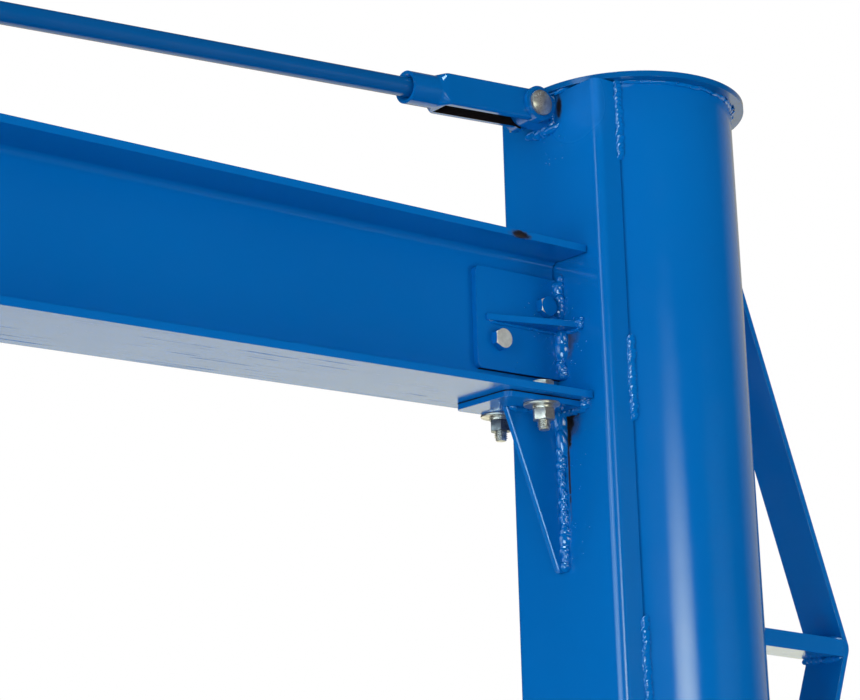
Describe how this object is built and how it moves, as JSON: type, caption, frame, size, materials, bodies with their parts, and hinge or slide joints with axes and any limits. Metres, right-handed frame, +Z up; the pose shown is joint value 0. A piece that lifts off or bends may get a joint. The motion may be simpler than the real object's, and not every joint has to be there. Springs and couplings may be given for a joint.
{
  "type": "free-standing jib crane",
  "caption": "Free-standing jib crane: a wide-flange boom, held by a tie rod and a braced sleeve, slews round a floor-mounted pipe post.",
  "frame": {"origin": "on the slewing axis, on the floor under the base plate", "axes": "+Z up along the post; +X out along the boom at rest; +Y towards the side of the boom's web that has the clip plate"},
  "size_m": [2.819, 0.762, 2.7708],
  "materials": {
    "crane_paint": "glossy blue enamel",
    "zinc_plate": "bright zinc plate",
    "machined_steel": "turned",
    "bronze": "machined bearing bronze"
  },
  "bodies": {
    "post": {"base_plate": "crane_paint", "post_pipe": "crane_paint", "post_cap": "crane_paint", "pivot_spindle": "machined_steel", "thrust_washer": "bronze", "base_gusset_1": "crane_paint", "base_gusset_2": "crane_paint", "base_gusset_3": "crane_paint", "base_gusset_4": "crane_paint", "base_gusset_5": "crane_paint", "base_gusset_6": "crane_paint", "base_gusset_7": "crane_paint", "base_gusset_8": "crane_paint"},
    "jib": {"sleeve_pipe": "crane_paint", "cap_plate": "crane_paint", "front_channel": "crane_paint", "pivot_plate": "crane_paint", "pivot_bush": "bronze", "lower_bush": "bronze", "seat_plate": "crane_paint", "seat_gusset": "crane_paint", "clip_plate": "crane_paint", "clip_rib": "crane_paint", "boom_beam": "crane_paint", "boom_end_plate": "crane_paint", "boom_lug": "crane_paint", "mast_lug": "crane_paint", "mast_clevis": "crane_paint", "boom_clevis": "crane_paint", "mast_pin": "zinc_plate", "boom_pin": "zinc_plate", "tie_rod": "crane_paint", "brace_bar": "crane_paint", "brace_strut": "crane_paint"}
  },
  "joints": [
    {"name": "slew", "type": "hinge", "parent": "post", "child": "jib", "pos_m": [0, 0, 0], "axis": [0, 0, 1], "continuous": true}
  ]
}
